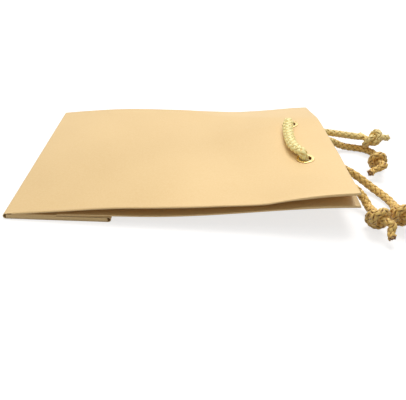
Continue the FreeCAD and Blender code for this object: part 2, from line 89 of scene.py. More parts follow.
def add_piece(name, points, faces, material, uvs, tones):
    """A smooth-shaded mesh object; uvs holds one pair and tones one number for each vertex, its share of painted
    light against painted shade, which only the rope's material reads.
    """
    mesh = bpy.data.meshes.new(name)
    mesh.from_pydata([tuple(p) for p in points], [], [tuple(f) for f in faces])
    mesh.shade_smooth()
    layer = mesh.uv_layers.new(name="UVMap")
    corner = np.empty(len(mesh.loops), dtype=np.int32)
    mesh.loops.foreach_get("vertex_index", corner)
    layer.data.foreach_set("uv", np.asarray(uvs, dtype=np.float32)[corner].ravel())
    mesh.attributes.new("tone", "FLOAT", "POINT").data.foreach_set("value", np.asarray(tones, dtype=np.float32))
    mesh.materials.append(material)
    piece = bpy.data.objects.new(name, mesh)
    scene.collection.objects.link(piece)
    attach(piece, "root")
    return piece


class Gather:
    """Closed parts of one piece."""

    def __init__(self):
        self.points, self.faces, self.uvs, self.tones, self.count = [], [], [], [], 0

    def add(self, points, faces, uvs=None, tones=None):
        self.points.append(np.asarray(points, float))
        self.tones.append(np.zeros(len(points)) if tones is None else np.asarray(tones, float))
        self.faces += [tuple(int(i) + self.count for i in face) for face in faces]
        self.uvs.append(np.zeros((len(points), 2)) if uvs is None else np.asarray(uvs, float))
        self.count += len(points)

    def piece(self, name, material, slot):
        points, uvs, tones = (np.concatenate(values) for values in (self.points, self.uvs, self.tones))
        return add_piece(name, points, self.faces, material, uvs, tones)


# ---------------------------------------------------------------- nodes of the materials and the world


class Nodes:
    """Short calls that build the nodes of one material or of the world."""

    def __init__(self, owner, output="OutputMaterial"):
        self.owner = owner
        owner.use_nodes = True
        self.tree = owner.node_tree
        self.tree.nodes.clear()
        self.output = self.tree.nodes.new("ShaderNode" + output)

    def add(self, kind, inputs=(), **settings):
        node = self.tree.nodes.new("ShaderNode" + kind)
        for key, value in settings.items():
            setattr(node, key, value)
        for key, value in dict(inputs).items():
            self.put(node.inputs[key], value)
        return node

    def put(self, socket, value):
        if isinstance(value, bpy.types.NodeSocket):
            self.tree.links.new(value, socket)
        elif isinstance(value, bpy.types.Node):
            self.tree.links.new(value.outputs[0], socket)
        else:
            socket.default_value = value

    def place(self):
        """Coordinates in the object, in metres."""
        return self.add("TexCoord").outputs["Object"]

    def parts(self, vector):
        """The X, Y and Z of a vector."""
        node = self.add("SeparateXYZ", {"Vector": vector})
        return [node.outputs[axis] for axis in "XYZ"]

    def noise(self, where, scale, detail=3.0, rough=0.55):
        inputs = {"Vector": where, "Scale": scale, "Detail": detail, "Roughness": rough}
        return self.add("TexNoise", inputs).outputs["Fac"]

    def ramp(self, factor, stops):
        node = self.add("ValToRGB", {"Fac": factor})
        ramp = node.color_ramp
        while len(ramp.elements) < len(stops):
            ramp.elements.new(0.5)
        for element, (position, colour) in zip(ramp.elements, stops):
            element.position = position
            element.color = colour
        return node.outputs["Color"]

    def remap(self, value, low, high, to_low=0.0, to_high=1.0):
        inputs = {"Value": value, "From Min": low, "From Max": high, "To Min": to_low, "To Max": to_high}
        return self.add("MapRange", inputs).outputs["Result"]

    def mix(self, factor, a, b):
        return self.add("MixRGB", {"Fac": factor, "Color1": a, "Color2": b}).outputs["Color"]

    def math(self, kind, a, b):
        return self.add("Math", {0: a, 1: b}, operation=kind).outputs[0]

    def bump(self, height, strength, distance):
        inputs = {"Height": height, "Strength": strength, "Distance": distance}
        return self.add("Bump", inputs).outputs["Normal"]

    def seen(self):
        """1 for what the camera sees, also in a gloss or through glass, and 0 for light."""
        ray = self.add("LightPath").outputs
        mirrored = self.math("MAXIMUM", ray["Is Glossy Ray"], ray["Is Transmission Ray"])
        return self.math("MAXIMUM", ray["Is Camera Ray"], mirrored)

    def surface(self, shader):
        self.put(self.output.inputs["Surface"], shader)
        return self.owner


def rgb(red, green, blue):
    """Linear colour of an sRGB one, 0 to 255."""
    def linear(c):
        c /= 255
        return c / 12.92 if c <= 0.04045 else ((c + 0.055) / 1.055) ** 2.4
    return (linear(red), linear(green), linear(blue), 1.0)


def paper_material():
    """Pearl-gold coated paper: soft clouds of colour, fine grain and a satin coat."""
    n = Nodes(bpy.data.materials.new("pearl_paper"))
    where = n.place()
    grain = n.noise(where, scale=900.0, detail=4.0, rough=0.6)
    cloud = n.noise(where, scale=14.0, detail=3.0, rough=0.5)
    fleck = n.noise(where, scale=2600.0, detail=2.0, rough=0.5)
    base = n.mix(n.remap(cloud, 0.3, 0.7), rgb(226, 190, 128), rgb(232, 198, 139))
    colour = n.mix(n.remap(grain, 0.35, 0.75, to_high=0.35), base, rgb(240, 212, 160))
    rough = n.remap(cloud, 0.3, 0.7, 0.42, 0.52)
    height = n.math("ADD", n.math("MULTIPLY", grain, 0.6), n.math("MULTIPLY", fleck, 0.4))
    normal = n.bump(height, strength=0.12, distance=0.0002)
    return n.surface(n.add("BsdfPrincipled", {
        "Base Color": colour, "Roughness": rough, "Normal": normal, "Metallic": 0.12,
        "Coat Weight": 0.12, "Coat Roughness": 0.35, "Sheen Weight": 0.08,
    }))


def rope_material():
    """Twisted fibre with painted light and shade: a lit, paler copy of its colour on top of the bag, a shaded,
    darker copy with random patches where it hangs out of the mouth, partly lit on the high stretch at the back, and
    painted shade in the furrows, under the crossings and on the core.
    """
    n = Nodes(bpy.data.materials.new("braid_fibre"))
    along, around, _ = n.parts(n.add("TexCoord").outputs["UV"])
    slanted = n.math("ADD", n.math("MULTIPLY", around, 22.0), n.math("MULTIPLY", along, 2.6))
    stretched = n.add("CombineXYZ", {"X": n.math("MULTIPLY", along, 0.35), "Y": slanted})
    fibre = n.noise(stretched, scale=1.0, detail=3.0, rough=0.6)
    where = n.place()
    patch = n.noise(where, scale=110.0, detail=2.0, rough=0.5)
    x, y, z = n.parts(where)
    # Painted light and shade: 0 where the rope lies on the panel (lit copy), 1 out past the mouth (shaded copy), and
    # up to half lit on the high stretch at the back.
    past_panel = n.remap(x, 0.080, 0.094)
    high, at_back = n.remap(z, 0.006, 0.011, to_high=0.5), n.remap(y, 0.0, 0.02)
    high_back_lit = n.math("MULTIPLY", high, at_back)
    free = n.math("MULTIPLY", past_panel, n.math("SUBTRACT", 1.0, high_back_lit))
    # Lit and shaded copies of the fibre's colour; the shaded copy gets random patches.
    dark = n.ramp(fibre, ((0.25, rgb(246, 178, 78)), (0.55, rgb(255, 219, 124)), (0.8, rgb(255, 242, 178))))
    pale = n.ramp(fibre, ((0.25, rgb(250, 224, 136)), (0.55, rgb(255, 246, 176)), (0.8, rgb(255, 252, 206))))
    shaded_and_patchy = n.mix(n.remap(patch, 0.3, 0.7, to_high=0.3), dark, rgb(254, 204, 106))
    crown_colour = n.mix(free, pale, shaded_and_patchy)
    # Painted shade for the furrows, the crossings that dip under and the core between the strands: light brown on
    # the panel, deep brown out past the mouth.
    painted_furrow_shade = n.mix(free, rgb(242, 212, 134), rgb(130, 70, 16))
    # How far each point is painted lit rather than shaded, from the mesh attribute that braid fills.
    crown = n.remap(n.add("Attribute", attribute_name="tone").outputs["Fac"], 0.2, 0.8)
    colour = n.mix(crown, painted_furrow_shade, crown_colour)
    normal = n.bump(fibre, strength=0.4, distance=0.0002)
    return n.surface(n.add("BsdfPrincipled", {
        "Base Color": colour, "Roughness": 0.42, "Normal": normal,
        "Sheen Weight": 0.25, "Sheen Roughness": 0.4, "Anisotropic": 0.5,
    }))


def brass_material():
    """Pressed brass, with painted shade on the rolled edges and in the bore: the less a face points up, the darker
    brown it is painted.
    """
    n = Nodes(bpy.data.materials.new("pressed_brass"))
    where = n.place()
    smear = n.noise(where, scale=350.0, detail=3.0, rough=0.6)
    flat = n.mix(n.remap(smear, 0.3, 0.7), rgb(234, 204, 132), rgb(248, 228, 166))
    # Painted shade: faces that turn away from upright, on the rolled edges and in the bore, get a dark brown.
    upright = n.parts(n.add("NewGeometry").outputs["Normal"])[2]
    colour = n.mix(n.remap(upright, 0.45, 0.93), rgb(150, 98, 34), flat)
    rough = n.remap(smear, 0.3, 0.7, 0.2, 0.34)
    normal = n.bump(n.noise(where, scale=1500.0, detail=2.0), strength=0.08, distance=0.0001)
    return n.surface(n.add("BsdfPrincipled", {
        "Base Color": colour, "Roughness": rough, "Metallic": 1.0, "Normal": normal,
    }))


def card_material():
    """Grey card of pressed pulp."""
    n = Nodes(bpy.data.materials.new("grey_card"))
    where = n.place()
    pulp = n.noise(where, scale=1100.0, detail=5.0, rough=0.7)
    spots = n.noise(where, scale=420.0, detail=2.0, rough=0.4)
    base = n.ramp(pulp, ((0.3, rgb(140, 132, 118)), (0.7, rgb(182, 174, 158))))
    colour = n.mix(n.remap(spots, 0.66, 0.72, to_high=0.5), base, rgb(110, 100, 86))
    normal = n.bump(pulp, strength=0.3, distance=0.0002)
    return n.surface(n.add("BsdfPrincipled", {"Base Color": colour, "Roughness": 0.9, "Normal": normal}))


def floor_material():
    """A pale floor that keeps shadows near the bag and fades into the white background far away."""
    n = Nodes(bpy.data.materials.new("white_floor"))
    away = n.add("VectorMath", {0: n.place()}, operation="LENGTH").outputs["Value"]
    glow = n.remap(away, 0.4, 1.8, 0.72, 0.96)
    white = n.add("Emission", {"Color": WHITE, "Strength": n.math("MULTIPLY", n.seen(), glow)})
    matt = n.add("BsdfDiffuse", {"Color": rgb(176, 174, 172)})
    return n.surface(n.add("AddShader", {0: white, 1: matt}))


def white_world(light):
    """A world that looks white and lights the scene with the given strength."""
    n = Nodes(bpy.data.worlds.new("world"), "OutputWorld")
    dim = n.add("Background", {"Color": WHITE, "Strength": light})
    bright = n.add("Background", {"Color": WHITE, "Strength": 1.0})
    return n.surface(n.add("MixShader", {0: n.seen(), 1: dim, 2: bright}))


paper = paper_material()
fibre = rope_material()
brass = brass_material()
card = card_material()

# ---------------------------------------------------------------- ropes

ROPE = 0.0055  # thickness
KNOTTED = 0.0047  # thickness of the rope that is pulled tight in a knot
ROPE_STEP, KNOT_STEP = 0.0006, 0.00055  # between points of a centreline
UPPER_ROUTE = (
    (0.1335, 0.0310, 0.0121), (0.1215, 0.0340, 0.0121), (0.1100, 0.0366, 0.0123), (0.1000, 0.0362, 0.0132),
    (0.0898, 0.0330, 0.0146), (0.0789, 0.0278, 0.0161), (0.0749, 0.0275, 0.0254), (0.0716, 0.0175, 0.0239),
    (0.0704, 0.0055, 0.0232), (0.0696, -0.0080, 0.0232), (0.0708, -0.0190, 0.0240), (0.0749, -0.0276, 0.0254),
    (0.0789, -0.0272, 0.0161), (0.0895, -0.0220, 0.0146), (0.1025, -0.0200, 0.0132), (0.1140, -0.0235, 0.0088),
    (0.1235, -0.0310, 0.0039), (0.1300, -0.0420, 0.0029), (0.1315, -0.0540, 0.0030), (0.1295, -0.0625, 0.00485),
)
LOWER_ROUTE = (
    (0.1395, 0.0040, 0.0047), (0.1432, 0.0120, 0.0029), (0.1440, 0.0215, 0.0028), (0.1385, 0.0295, 0.0028),
    (0.1295, 0.0315, 0.0028), (0.1200, 0.0310, 0.0040), (0.1110, 0.0285, 0.0090), (0.1010, 0.0230, 0.0131),
    (0.0910, 0.0165, 0.0129), (0.0820, 0.0175, 0.0128), (0.0786, 0.0272, 0.0126), (0.0772, 0.0275, 0.00285),
    (0.0726, 0.0175, 0.0028), (0.0710, 0.0055, 0.0028), (0.0710, -0.0080, 0.0028), (0.0726, -0.0190, 0.0028),
    (0.0772, -0.0274, 0.00285), (0.0786, -0.0278, 0.0126), (0.0820, -0.0380, 0.0128), (0.0915, -0.0425, 0.0129),
    (0.1025, -0.0425, 0.0132), (0.1105, -0.0490, 0.0088), (0.1135, -0.0585, 0.0036), (0.1130, -0.0665, 0.0052),
)


def spline_line(name, route):
    """Points of the smooth curve that a route's points control."""
    curve = bpy.data.curves.new(name, "CURVE")
    curve.dimensions = "3D"
    curve.resolution_u = 16
    spline = curve.splines.new("NURBS")
    spline.points.add(len(route) - 1)
    for point, place in zip(spline.points, route):
        point.co = (*place, 1)
    spline.order_u = 3
    spline.use_endpoint_u = True
    holder = bpy.data.objects.new(name, curve)
    mesh = bpy.data.meshes.new_from_object(holder)
    line = np.array([v.co[:] for v in mesh.vertices])
    bpy.data.objects.remove(holder)
    bpy.data.curves.remove(curve)
    bpy.data.meshes.remove(mesh)
    return line


def run_along(line):
    """Distance of each point from the first one along the line."""
    return np.concatenate([[0], np.cumsum(np.linalg.norm(np.diff(line, axis=0), axis=1))])


def even(line, spacing):
    """The line with its points a spacing apart."""
    run = run_along(line)
    at = np.linspace(0, run[-1], max(2, round(run[-1] / spacing) + 1))
    return np.stack([np.interp(at, run, line[:, k]) for k in range(3)], 1)


def overhand(count=64, steps=2500, reach=3.2, spare=6.6):
    """Centreline of an overhand knot pulled tight along X, in rope diameters: a loose one is shortened while its
    strands keep a diameter apart. reach is half its length, and spare what the knot takes on top of it."""
    t = np.linspace(-2.25, 2.25, count)
    line = np.stack([t**5 / 5 - 2 * t, t**4 - 4 * t**2, t**3 - 3 * t], 1)
    line[:, 1] -= line[0, 1]
    p = even(line, np.linalg.norm(np.diff(line, axis=0), axis=1).sum() / (count - 1))
    loose = np.linalg.norm(p[1] - p[0])
    tight = (2 * reach + spare) / (len(p) - 1)
    ends = np.array([[-reach, 0, 0], [reach, 0, 0]])
    first, second = np.triu_indices(len(p), 1)
    for step in range(steps):
        rest = loose + (tight - loose) * min(1.0, step / (0.6 * steps))
        # The ends move to their places and stay in line with X.
        p[[0, -1]] += (ends - p[[0, -1]]) * 0.05
        p[1, 1:] += (p[0, 1:] - p[1, 1:]) * 0.3
        p[-2, 1:] += (p[-1, 1:] - p[-2, 1:]) * 0.3
        # Every link goes to its length.
        for _ in range(6):
            gap = np.diff(p, axis=0)
            size = np.linalg.norm(gap, axis=1, keepdims=True)
            pull = gap * (size - rest) / size * 0.45
            p[:-1] += pull
            p[1:] -= pull
        # Points that are not close neighbours along the rope push each other a diameter apart.
        apart = (second - first) * rest > 1.35
        a, b = first[apart], second[apart]
        gap = p[a] - p[b]
        size = np.linalg.norm(gap, axis=1)
        hit = size < 1.0
        a, b, gap, size = a[hit], b[hit], gap[hit], size[hit]
        push = gap * ((1.0 - size) / size * 0.35)[:, None]
        move, weight = np.zeros_like(p), np.zeros(len(p))
        np.add.at(move, a, push)
        np.add.at(move, b, -push)
        np.add.at(weight, a, 1)
        np.add.at(weight, b, 1)
        p += move / np.maximum(weight, 1)[:, None] * 1.6
        # Bends are eased.
        p[1:-1] += 0.25 * ((p[:-2] + p[2:]) / 2 - p[1:-1])
    return p


KNOT = overhand()
KNOT_HALF = 2.2  # in rope diameters, what is kept of the knot either side of its middle
KNOT_AHEAD = 0.008  # from the rope's end to the knot's middle
TAIL_REACH = 0.0145  # from the knot's middle to the tip of its tail
LEAD_IN, TAIL_END = 0.0012, 0.003  # straight stretches before the knot and at the tip


def knot_line(end, heading, tail_turn, tail_dip):
    """Centreline from a rope's end through its overhand knot to the tip of the tail."""
    level = Vector((heading[0], heading[1], 0)).normalized()
    side = Vector((0, 0, 1)).cross(level)
    ahead = Vector(heading).normalized()
    middle = Vector(end) + ahead * KNOT_AHEAD
    turn, dip = math.radians(tail_turn), math.radians(tail_dip)
    out = (level * math.cos(turn) + side * math.sin(turn)) * math.cos(dip) - Vector((0, 0, math.sin(dip)))
    tip = middle + out * TAIL_REACH
    body = KNOT[np.abs(KNOT[:, 0]) < KNOT_HALF] * KNOTTED
    centred = body - np.array([0, *((body[:, 1:].max(0) + body[:, 1:].min(0)) / 2)])
    lump = centred @ np.array([ahead, side, ahead.cross(side)]) + np.array(middle)
    points = [Vector(end), Vector(end) + ahead * LEAD_IN]
    points += [Vector(p) for p in lump[1:-1]]
    points += [tip - out * TAIL_END, tip]
    return even(spline_line("knot", points), KNOT_STEP)


def frames(line):
    """Tangents and parallel-carried normals along a line."""
    tangent = unit(np.gradient(line, axis=0))
    normal = np.empty_like(line)
    start = np.cross(tangent[0], (0, 0, 1))
    normal[0] = start / np.linalg.norm(start)
    for k in range(1, len(line)):
        n = normal[k - 1] - tangent[k] * (normal[k - 1] @ tangent[k])
        normal[k] = n / np.linalg.norm(n)
    return tangent, normal, np.cross(tangent, normal)


PITCH = 0.0185  # length of one turn of a strand
STRANDS_EACH_WAY = 4
STRAND_SIDES, CORE_SIDES = 12, 12
STRAND_DEPTH, WEAVE = 0.00164, 0.00050  # of a strand's middle from the centreline, and its rise over the others
STRAND_HALF_WIDTH, STRAND_HALF_HEIGHT = 0.00118, 0.00070
FURROW_DEPTH, FURROW_WIDTH = 0.30, 0.28  # of the groove along each strand, as shares of its section
CORE_RADIUS = 0.00150
UNSHADED_END, UNSHADED_END_LIGHT = 0.0008, 0.7  # stretch of the core at a cut end over which its painted shade gives way to a paler colour, and the share of light it reaches there


def braid(name, line, tangent, normal, third, run, scale, wide):
    """Eight plump strands with a furrow each, four winding each way, over and under each other round a core, with
    painted light and shade for each point in a mesh attribute.
    scale is the rope's girth at each point against its full one, and wide stretches it sideways."""
    made = Gather()
    phase = 2 * math.pi * run / PITCH
    upright = unit(np.array([0, 0, 1.0]) - tangent * tangent[:, 2:3])
    level = np.cross(tangent, upright)
    count = len(line)

    def shaped(offset):
        """An offset from the centreline with the rope's girth and flattening."""
        across = (offset * level).sum(1, keepdims=True)
        above = (offset * upright).sum(1, keepdims=True)
        return (across * wide[:, None] * level + above * upright) * scale[:, None]

    def tube(rings, shift, turns, tones):
        """A closed tube; its UV holds the run in millimetres and the place round it."""
        sides = rings.shape[1]
        faces = []
        for k in range(count - 1):
            for j in range(sides):
                m = (j + 1) % sides
                faces.append((k * sides + j, k * sides + m, (k + 1) * sides + m, (k + 1) * sides + j))
        faces.append(tuple(range(sides))[::-1])
        faces.append(tuple((count - 1) * sides + j for j in range(sides)))
        uvs = np.stack([np.repeat(run * 1000 + shift, sides), np.tile(np.arange(sides) * turns / sides, count)], 1)
        made.add(rings.reshape(-1, 3), faces, uvs, tones)

    ring = np.linspace(0, 2 * math.pi, STRAND_SIDES, endpoint=False)
    furrow = np.where(np.sin(ring) > 0, 1 - FURROW_DEPTH * np.exp(-((np.cos(ring) / FURROW_WIDTH) ** 2)), 1.0)
    height = furrow * np.sin(ring)
    crown = furrow * height
    half_width, half_height = (half * scale[:, None, None] for half in (STRAND_HALF_WIDTH, STRAND_HALF_HEIGHT))
    for way in (1, -1):
        lift = way * np.cos(STRANDS_EACH_WAY * phase)
        depth = STRAND_DEPTH + WEAVE * lift
        for strand in range(STRANDS_EACH_WAY):
            angle = way * phase + strand * 2 * math.pi / STRANDS_EACH_WAY
            radial = np.cos(angle)[:, None] * normal + np.sin(angle)[:, None] * third
            centre = line + shaped(radial * depth[:, None])
            along = unit(np.gradient(centre, axis=0))
            outward = unit(radial - along * (radial * along).sum(1, keepdims=True))
            beside = np.cross(along, outward)
            rings = centre[:, None] + half_width * np.cos(ring)[None, :, None] * beside[:, None]
            rings = rings + half_height * height[None, :, None] * outward[:, None]
            # Painted light and shade: a strand is painted lighter on its outer face and where it rises over the
            # others, darker on its inner face, in its furrow and where it dips under.
            tones = 0.28 + 0.34 * lift[:, None] + 0.38 * crown[None, :]
            tube(rings, strand * 37.0 + way * 5.0, 1, tones.ravel())

    ring = np.linspace(0, 2 * math.pi, CORE_SIDES, endpoint=False)
    radial = np.cos(ring)[None, :, None] * normal[:, None] + np.sin(ring)[None, :, None] * third[:, None]
    rings = np.stack([line + shaped(radial[:, j] * CORE_RADIUS) for j in range(CORE_SIDES)], 1)
    # The core is painted shaded all along, as it shows only in the gaps between the strands; near each cut end the
    # painted shade fades out.
    ends = np.clip(1 - np.minimum(run - run[0], run[-1] - run) / UNSHADED_END, 0, 1)
    tube(rings, 0.0, 4, np.repeat(UNSHADED_END_LIGHT * ends, CORE_SIDES))
    return made.piece(name, fibre, "rope_braid")


CLEAR_OF_FLOOR = 0.0003
KNOT_RISE_ENDS, KNOT_RISE_OVER = 0.012, 0.014  # the rope follows a lifted knot over this much of its length
TIGHTENS_OVER = 0.004  # from the full thickness to the knotted one
BOW_FROM, BOW_OVER = 0.0765, 0.004  # X from which a rope is flattened on its panel, and how fast
FLATTENED = 0.54  # share by which it is wider there
SEAT_SHIFT = 0.0012  # of the flattened stretch, towards the mouth
FLARE, FLARE_OVER = 0.16, 0.003  # of a cut tip


def make_rope(name, route, bowed, knots):
    """A rope and its two end knots, braided on without a break. bowed is how much it flattens on its panel."""
    line = even(spline_line(name, route), ROPE_STEP)
    back = knot_line(line[0], unit(line[0] - line[3]), *knots[0][1:])
    front = knot_line(line[-1], unit(line[-1] - line[-4]), *knots[1][1:])
    whole = np.concatenate([back[::-1][:-1], line, front[1:]])
    run = run_along(whole)
    first = len(back) - 1
    last = first + len(line) - 1

    begin, end = run[first], run[last]
    into_back, into_front = begin + KNOT_RISE_ENDS - run, run - end + KNOT_RISE_ENDS
    rise_share = smooth(np.clip(np.maximum(into_back, into_front) / KNOT_RISE_OVER, 0, 1))
    for lump, near in ((slice(0, first), into_back > 0), (slice(last, len(whole)), into_front > 0)):
        low = (whole[lump, 2] - 0.5 * KNOTTED).min() - CLEAR_OF_FLOOR
        whole[:, 2] += max(0.0, -low) * rise_share * near
    tangent, normal, third = frames(whole)

    inside = smooth(np.clip(np.minimum(run - begin, end - run) / TIGHTENS_OVER, 0, 1))
    tip = np.clip(1 - np.minimum(run - run[0], run[-1] - run) / FLARE_OVER, 0, 1)
    scale = (KNOTTED + (ROPE - KNOTTED) * inside) / ROPE * (1 + FLARE * tip * tip)
    bow = smooth(np.clip((BOW_FROM - whole[:, 0]) / BOW_OVER, 0, 1) * bowed)
    wide = 1 + FLATTENED * bow
    seat = whole + np.array([SEAT_SHIFT, 0, 0]) * bow[:, None]

    def part(node, start, stop):
        values = (seat, tangent, normal, third, run, scale, wide)
        piece = braid(node + "_braid", *(value[start:stop] for value in values))
        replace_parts(piece, node)
        return piece

    rope = part(name, first, last + 1)
    ends = [part(knots[0][0], 0, first + 1), part(knots[1][0], last, len(whole))]


# Each knot has its name, and the turn and dip of its tail in degrees.
make_rope(
    "rope_upper", UPPER_ROUTE, bowed=1.0,
    knots=(("knot_upper_back", 30, 2), ("knot_upper_front", 25, 13)),
)
make_rope(
    "rope_lower", LOWER_ROUTE, bowed=0.4,
    knots=(("knot_lower_back", -14, 13), ("knot_lower_front", 16, 13)),
)

# ---------------------------------------------------------------- the bag's sheet, in millimetres

WIDTH, DEPTH, SHEET = 150.0, 60.0, 0.35  # of the bag, of its folded base, and thickness of its paper
HALF = WIDTH / 2
FOLD = 1.65  # radius of the folds at both ends of the base
PANEL_X, PANEL_Z = (FOLD, DEPTH / 2), 2 * FOLD  # where the upper and the lower panel start
TURN_IN, SANDWICH = 39.0, 1.6  # paper turned in at the mouth, and its thickness with the card
NO_CARD = 0.76  # its thickness beside the card
MOUTH_ROUND = 0.7  # what the rounded edge of the mouth takes up
EYELET_FROM_MOUTH, EYELET_Y = 22, 27.5
HOLE, SQUARE = 4.02, 8.0  # radius of a punched hole, and half the square of the mesh round it
ALONG, ROUND_HOLE = 2.5, 2.0  # between rows of the mesh
LOW_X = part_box("bag_body")[0][0] / MM


class PanelLine:
    """The outer face of a panel in the middle section: straight, then bent, then straight."""

    def __init__(self, x, slope, straight, bend, turn, length):
        self.x, self.straight, self.bend, self.length = x, straight, bend, length
        self.slope, self.turn = math.radians(slope), math.radians(turn)
        self.hole = length - EYELET_FROM_MOUTH

    def at(self, run):
        """Place and slope at each run."""
        run = np.asarray(run, float)
        bent = np.clip(run - self.straight, 0, self.bend)
        rest = np.maximum(run - self.straight - self.bend, 0)
        first = np.minimum(run, self.straight)
        radius = self.bend / self.turn
        start, last = self.slope, self.slope + self.turn
        slope = start + bent / radius
        x = self.x + first * math.cos(start) + radius * (np.sin(slope) - math.sin(start)) + rest * math.cos(last)
        z = PANEL_Z + first * math.sin(start) + radius * (math.cos(start) - np.cos(slope)) + rest * math.sin(last)
        return x, z, slope


upper = PanelLine(PANEL_X[0], slope=4.2, straight=100.0, bend=45.0, turn=5.3, length=198.35)
lower = PanelLine(PANEL_X[1], slope=1.2, straight=70.0, bend=40.0, turn=0.6, length=170.0)
BACK_DROOP, FRONT_DROOP = 7.5, -0.6  # of the upper panel's two mouth corners
BACK_STRIP, FRONT_STRIP = 40, 31  # width of the side strips that droop with them
BULGE, SINK, FRONT_LIFT = 1.9, 1.7, 1.1  # of the upper panel over the base, at the back and at the front corner
BACK_DRAWN, FRONT_DRAWN = 0.5, 0.9  # how far its mouth edge is drawn back at the corners
CORNER_UP = 8.0  # how far the lower panel's front corner stands up
NARROWED = 0.006  # share by which the turned-in paper is narrower


# How the paper departs from those courses. Run is the distance from the base, y the place across, both in mm.


def hang(run, y):
    """How far the upper panel's side hangs below its middle."""
    growth = np.clip((run - upper.straight) / (upper.length - upper.straight), 0, None)
    flat = HALF - np.where(y > 0, BACK_STRIP, FRONT_STRIP) * (0.15 + 0.85 * growth)
    share = (np.abs(y) - flat) / (HALF - flat)
    soft = (share + np.sqrt(share * share + 0.012)) / 2
    return soft * growth * np.where(y > 0, BACK_DROOP, FRONT_DROOP)


def ripple(run, y):
    """Slight waves of the free parts of the upper panel."""
    before_rim = np.clip((150 - run) / 25, 0, 1)
    past_fold = np.clip((run - 20) / 40, 0, 1)
    wave = 0.35 * np.sin(run / 21.0 + 0.6) * np.sin(y / 34.0 + 0.4) + 0.22 * np.sin(run / 11.5 + y / 26.0)
    side = 0.25 * np.sin(run / 16.0 + np.sign(y)) * np.clip((np.abs(y) - 50) / 25, 0, 1)
    return (wave + side) * before_rim * past_fold


def rise(run, y):
    """How far the upper panel bulges over the folded base, longer at the front, sinks at the back, and lifts at
    the front corner of the mouth."""
    y = np.clip(y / HALF, -1, 1)

    def hump(start, length):
        return np.sin(math.pi * np.clip((run - start) / length, 0, 1))

    over = hump(0, 121.5 - 23.5 * y)
    sunk = hump(95, 92) * np.clip(1.6 * y - 0.6, 0, 1)
    front = hump(148, 52) * np.clip(-3 * y - 1.9, 0, 1)
    return BULGE * over - SINK * sunk + FRONT_LIFT * front


def fall(run, y):
    """How far the upper panel lies below its course in the middle section."""
    return hang(run, y) - ripple(run, y) - rise(run, y)


def drawn(run, y):
    """How far the upper panel's mouth edge is drawn back towards its two corners."""
    side = np.clip((np.abs(y) - 20) / 50, 0, 1)
    return np.where(y > 0, BACK_DRAWN, FRONT_DRAWN) * smooth(side) * np.clip((run - 120) / 78, 0, 1)


def raised(run, y):
    """How far the lower panel's front corner at the mouth stands up."""
    side = np.clip((-y - 30) / 45, 0, 1)
    along = np.clip((run - 45) / 125, 0, 1)
    return CORNER_UP * smooth(side) * smooth(along)


def rim_depth(y):
    """Thickness of the turned-in edge: paper, card and paper, or paper twice near the creases."""
    return SANDWICH + (NO_CARD - SANDWICH) * smooth(np.clip((np.abs(y) - 62.5) / 3.0, 0, 1))


class Rows:
    """The sheet's course in the middle section. Each row holds a place on the outer face, the outward normal, the
    direction to the mouth, the angle round the mouth's fold, 1 in that fold, 1 on the upper panel, and the run."""

    def __init__(self):
        self.rows = []
        self.layers = []  # first row, last row and panel of each layer that is punched for the eyelets

    def along(self, panel, runs, angle, fold=0.0):
        """Rows on a panel."""
        sign = 1 if panel is upper else -1
        x, z, slope = panel.at(runs)
        angles = np.broadcast_to(angle, np.shape(x)).astype(float)
        for k, run in enumerate(runs):
            c, s = math.cos(slope[k]), math.sin(slope[k])
            self.rows.append((x[k], z[k], -s * sign, c * sign, c, s, angles[k], fold, sign > 0, run))

    def layer(self, panel, first, last, angle):
        """Rows from one run to another, even inside the square round an eyelet's hole."""
        near, far = panel.hole - SQUARE, panel.hole + SQUARE
        if first > last:
            near, far = far, near

        def stretch(a, b, spacing):
            return np.linspace(a, b, max(2, round(abs(b - a) / spacing) + 1))

        runs = (stretch(first, near, ALONG)[:-1], stretch(near, far, ROUND_HOLE)[:-1], stretch(far, last, ALONG))
        start = len(self.rows)
        self.along(panel, np.concatenate(runs), angle)
        self.layers.append((start, len(self.rows) - 1, panel))

    def mouth(self, panel, first, last):
        """Rows round a panel's mouth edge, from one angle to another."""
        angles = np.linspace(first, last, 9)[1:-1]
        self.along(panel, np.full(len(angles), panel.length), angles, fold=1.0)

    def face(self, places, normals):
        """Rows on the base."""
        for (x, z), (nx, nz) in zip(places, normals):
            self.rows.append((x, z, nx, nz, 1, 0, 0.0, 0.0, 0.0, 0.0))

    def level(self, first, last, count, z, normal):
        """Rows on a level face of the base."""
        self.face([(x, z) for x in np.linspace(first, last, count)], [(0, normal)] * count)

    def half_turn(self, x, z, radius, start, count, way=1):
        """Rows round a fold, from a start angle in degrees."""
        angles = [math.radians(start + way * 180 * k / count) for k in range(1, count)]
        normals = [(math.cos(a), math.sin(a)) for a in angles]
        self.face([(x + radius * c, z + radius * s) for c, s in normals], normals)


def build_rows():
    """The whole sheet, from the upper panel's turned-in edge round the base to the lower panel's."""
    r = Rows()
    far_fold = DEPTH - FOLD
    r.layer(upper, upper.length - TURN_IN, upper.length - MOUTH_ROUND, math.pi)
    r.mouth(upper, math.pi, 0)
    r.layer(upper, upper.length - MOUTH_ROUND, 0.0, 0.0)
    r.half_turn(FOLD, FOLD, FOLD, 90, 12)
    r.level(FOLD, far_fold, 24, z=0.0, normal=-1)
    r.half_turn(far_fold, FOLD, FOLD, 270, 12)
    r.level(far_fold, lower.x + 0.1, 10, z=PANEL_Z, normal=1)
    r.half_turn(lower.x, PANEL_Z, 0.0, 90, 5, way=-1)
    r.layer(lower, 0.05, lower.length - MOUTH_ROUND, 0.0)
    r.mouth(lower, 0, math.pi)
    r.layer(lower, lower.length - MOUTH_ROUND, lower.length - TURN_IN, math.pi)
    return np.array(r.rows, float), r.layers


ROWS, LAYERS = build_rows()


